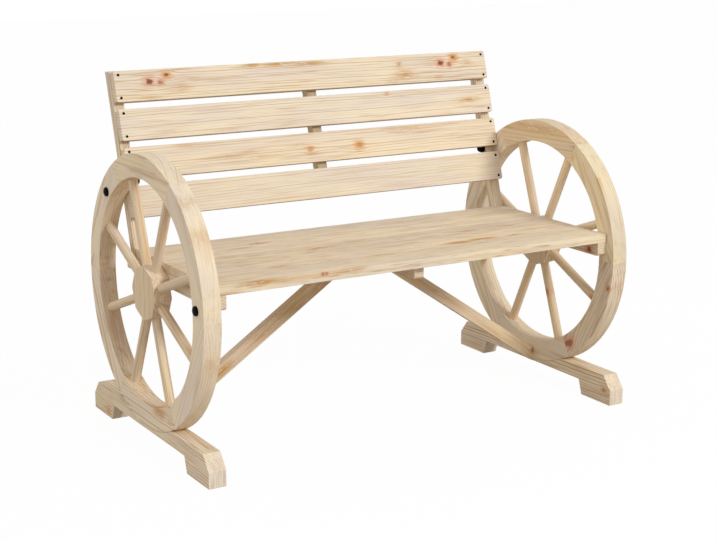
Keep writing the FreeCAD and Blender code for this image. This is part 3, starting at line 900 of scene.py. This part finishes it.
def bolt_head(shape, seat, outward, height):
    """Adds one head to a mesh of many: the cap of a ball on a short round rim."""
    crown = height - bolt_rim
    ball_radius = (bolt_radius ** 2 + crown ** 2) / (2 * crown)
    head = bmesh.new()
    bmesh.ops.create_uvsphere(head, u_segments=bolt_sides, v_segments=bolt_rings, radius=ball_radius)
    everything = head.verts[:] + head.edges[:] + head.faces[:]
    bmesh.ops.bisect_plane(head, geom=everything, plane_co=(0, 0, ball_radius - crown), plane_no=(0, 0, 1),
                           clear_inner=True)
    open_edge = [edge for edge in head.edges if edge.is_boundary]
    skirt = bmesh.ops.extrude_edge_only(head, edges=open_edge)
    bmesh.ops.translate(head, vec=(0, 0, -bolt_rim), verts=new_verts(skirt))
    bmesh.ops.holes_fill(head, edges=[edge for edge in head.edges if edge.is_boundary])
    round_over(head, open_edge, bolt_rim_ease)
    bmesh.ops.translate(head, vec=(0, 0, bolt_rim + crown - ball_radius), verts=head.verts)
    seat_head(shape, head, seat, outward)


post_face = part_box("right_post")[0].x
bolt_faces = {"rear_bolts": (rim_high.x, 1, outer_bolt_height),
              "front_bolts": (rim_high.x, 1, outer_bolt_height),
              "post_bolts": (post_face, -1, inner_bolt_height)}
for name, (face, way, height) in bolt_faces.items():
    low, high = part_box(name)
    shape = bmesh.new()
    for end in (-1, 1):
        seat = Vector((face * end, (low.y + high.y) / 2, (low.z + high.z) / 2))
        bolt_head(shape, seat, along_bench * end * way, height)
    make(shape, name + "_black", bolt_steel, name)


# Floor: a wide flat sheet of pale paper that looks white to the camera and still takes the bench's shadow.
# It throws back less light than it shows, as a studio floor does.
floor_size = 12.0
floor_drop = 0.0005
floor_glow_share = 0.97
floor_bounce = (0.45, 0.39, 0.33, 1)
white = (1, 1, 1, 1)
floor_shape = bmesh.new()
bmesh.ops.create_grid(floor_shape, x_segments=1, y_segments=1, size=floor_size)
bmesh.ops.translate(floor_shape, vec=(0, 0, -floor_drop), verts=floor_shape.verts)
floor_mesh = bpy.data.meshes.new("floor")
floor_shape.to_mesh(floor_mesh)
floor_shape.free()
floor = bpy.data.objects.new("floor", floor_mesh)
bpy.context.scene.collection.objects.link(floor)


def seen_directly(look):
    """1 for what the camera sees itself, in a gloss or through glass, and 0 for light on the object."""
    direct = look.node("LightPath", out="Is Camera Ray")
    glossy = look.node("LightPath", out="Is Glossy Ray")
    clear = look.node("LightPath", out="Is Transmission Ray")
    return direct.math("MAXIMUM", glossy).math("MAXIMUM", clear)


floor_look = Finish("floor_paper")
floor_look.tree.nodes.remove(floor_look.shader)
shaded = floor_look.node("BsdfDiffuse", Color=white)
glowing = floor_look.node("Emission", Color=white, Strength=1.0)
shown = floor_look.node("MixShader", i0=floor_glow_share, i1=shaded, i2=glowing)
dim = floor_look.node("BsdfDiffuse", Color=floor_bounce)
paper = floor_look.node("MixShader", i0=seen_directly(floor_look), i1=dim, i2=shown)
floor_look.tree.links.new(paper.socket, floor_look.tree.nodes["Material Output"].inputs[0])
floor_mesh.materials.append(floor_look.material)


# Light: a white room with a bright wall to the left, and one soft panel in front of the bench, a little
# to its right and above, so that faces turned to the front are brightest.
class RoomLight(Finish):
    """The light of a room all round, with the same short way to add any node."""

    def __init__(self, name):
        self.material = bpy.data.worlds.new(name)
        self.material.use_nodes = True
        self.tree = self.material.node_tree
        self.shader = self.tree.nodes["Background"]


wall_light = 0.45
left_wall_light = 0.50
back_wall_light = 0.25
wall_tint = (1, 0.975, 0.94, 1)
room = RoomLight("white_room")
bpy.context.scene.world = room.material
way = room.node("TexCoord", out="Generated")
leftwards = (0.0 - room.node("SeparateXYZ", out="X", Vector=way)).math("MAXIMUM", 0.0)
backwards = room.node("SeparateXYZ", out="Y", Vector=way).math("MAXIMUM", 0.0)
room_light = wall_light + leftwards * left_wall_light + backwards * back_wall_light
seen = seen_directly(room)
room.set(Color=room.mix(seen, wall_tint, white), Strength=seen + (1 - seen) * room_light)

panel_aim = Vector((0, 0, 0.4))
panel_place = Vector((1.7, -5.80, 3.91))
panel_width = 1.6
panel_height = 1.25
panel_power = 230.0
panel_light = bpy.data.lights.new("panel", "AREA")
panel_light.shape = "RECTANGLE"
panel_light.size = panel_width
panel_light.size_y = panel_height
panel_light.energy = panel_power
panel = bpy.data.objects.new("panel", panel_light)
panel.location = panel_place
panel.rotation_euler = (panel_aim - panel_place).to_track_quat("-Z", "Y").to_euler()
bpy.context.scene.collection.objects.link(panel)


# Camera: in front of the bench and to its left, a little above the back, looking down at the whole of it.
# Its focal length is in pixels of a picture as wide as the one given here.
picture_width = 716
picture_focal = 1529.92
sensor_width = 36.0
camera_place = Vector((-1.7428, -2.8821, 1.1224))
camera_yaw = math.radians(31.065)
camera_pitch = math.radians(-13.389)
camera_roll = math.radians(0.127)
lens = bpy.data.cameras.new("camera")
lens.sensor_width = sensor_width
lens.lens = picture_focal / picture_width * sensor_width
camera = bpy.data.objects.new("camera", lens)
bpy.context.scene.collection.objects.link(camera)
level_look = Vector((math.sin(camera_yaw), math.cos(camera_yaw), 0))
look_way = level_look * math.cos(camera_pitch) + Vector((0, 0, math.sin(camera_pitch)))
camera_right = level_look.cross(Vector((0, 0, 1)))
camera_up = camera_right.cross(look_way)
turned_right = camera_right * math.cos(camera_roll) + camera_up * math.sin(camera_roll)
turned_up = camera_up * math.cos(camera_roll) - camera_right * math.sin(camera_roll)
camera_turn = Matrix((turned_right, turned_up, -look_way)).transposed()
camera.matrix_world = Matrix.Translation(camera_place) @ camera_turn.to_4x4()
bpy.context.scene.camera = camera
bpy.context.scene.view_settings.view_transform = "Standard"
